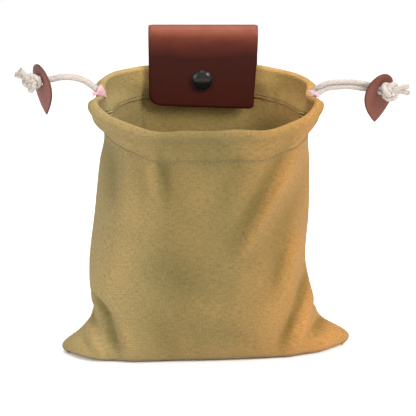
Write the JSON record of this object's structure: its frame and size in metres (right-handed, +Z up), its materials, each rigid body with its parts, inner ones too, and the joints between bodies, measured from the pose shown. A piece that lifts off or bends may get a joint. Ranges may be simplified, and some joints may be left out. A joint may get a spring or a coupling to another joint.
{
  "type": "treat pouch",
  "caption": "Open-topped canvas drawstring pouch with cord pulls at both sides and a leather belt flap that snaps inside the mouth, for carrying training treats.",
  "frame": {"origin": "centre of the pouch's floor, on the surface it stands on", "axes": "+Z up, +Y towards the leather back that lies against the wearer, -Y the front, +X to the right seen from the front"},
  "size_m": [0.3399, 0.1096, 0.296],
  "materials": {
    "canvas": "matte cotton canvas",
    "cotton": "matte braided cotton",
    "thread": "matte thread",
    "strap_leather": "waxed, semi-gloss",
    "tab_leather": "matte",
    "black_enamel": "semi-gloss",
    "nickel": "satin"
  },
  "bodies": {
    "root": {"back_panel": "canvas", "pouch_floor": "canvas", "left_side_seam": "thread", "right_side_seam": "thread", "leather_back": "strap_leather", "snap_stud": "nickel", "snap_back_button": "black_enamel", "left_cord_back_run": "cotton", "right_cord_back_run": "cotton", "rivet_1": "nickel", "rivet_2": "nickel", "rivet_3": "nickel", "rivet_4": "nickel", "rivet_washer_1": "nickel", "rivet_washer_2": "nickel", "rivet_washer_3": "nickel", "rivet_washer_4": "nickel"},
    "front": {"front_panel": "canvas", "left_cord_front_run": "cotton", "right_cord_front_run": "cotton"},
    "flap": {"leather_flap": "strap_leather", "snap_cap": "black_enamel", "snap_socket": "nickel"},
    "left_pull": {"left_cord_a": "cotton", "left_cord_b": "cotton", "left_knot": "cotton"},
    "right_pull": {"right_cord_a": "cotton", "right_cord_b": "cotton", "right_knot": "cotton"},
    "left_leaf": {"left_tab": "tab_leather"},
    "right_leaf": {"right_tab": "tab_leather"}
  },
  "joints": [
    {"name": "flap_lift", "type": "hinge", "parent": "root", "child": "flap", "pos_m": [0, 0.03555, 0.2871], "axis": [-1, 0, 0], "range_deg": [0, 120]},
    {"name": "mouth_close", "type": "hinge", "parent": "root", "child": "front", "pos_m": [0, -0.0305, 0], "axis": [-1, 0, 0], "range_deg": [0, 18], "deforming": ["front_panel", "left_cord_front_run", "right_cord_front_run"]},
    {"name": "left_pull_slide", "type": "slide", "parent": "root", "child": "left_pull", "axis": [-1, 0, 0], "range_m": [0, 0.045]},
    {"name": "right_pull_slide", "type": "slide", "parent": "root", "child": "right_pull", "axis": [1, 0, 0], "range_m": [0, 0.045]},
    {"name": "left_tab_turn", "type": "hinge", "parent": "left_pull", "child": "left_leaf", "pos_m": [-0.1438, -0.0025, 0.257], "axis": [-0.8259, -0.5364, -0.1736], "continuous": true},
    {"name": "right_tab_turn", "type": "hinge", "parent": "right_pull", "child": "right_leaf", "pos_m": [0.1522, -0.0045, 0.2495], "axis": [0.5285, -0.8138, -0.2419], "continuous": true}
  ],
  "couplings": [
    {"joint": "left_pull_slide", "follows": "mouth_close", "m_per_rad": 0.14},
    {"joint": "right_pull_slide", "follows": "mouth_close", "m_per_rad": 0.14}
  ]
}
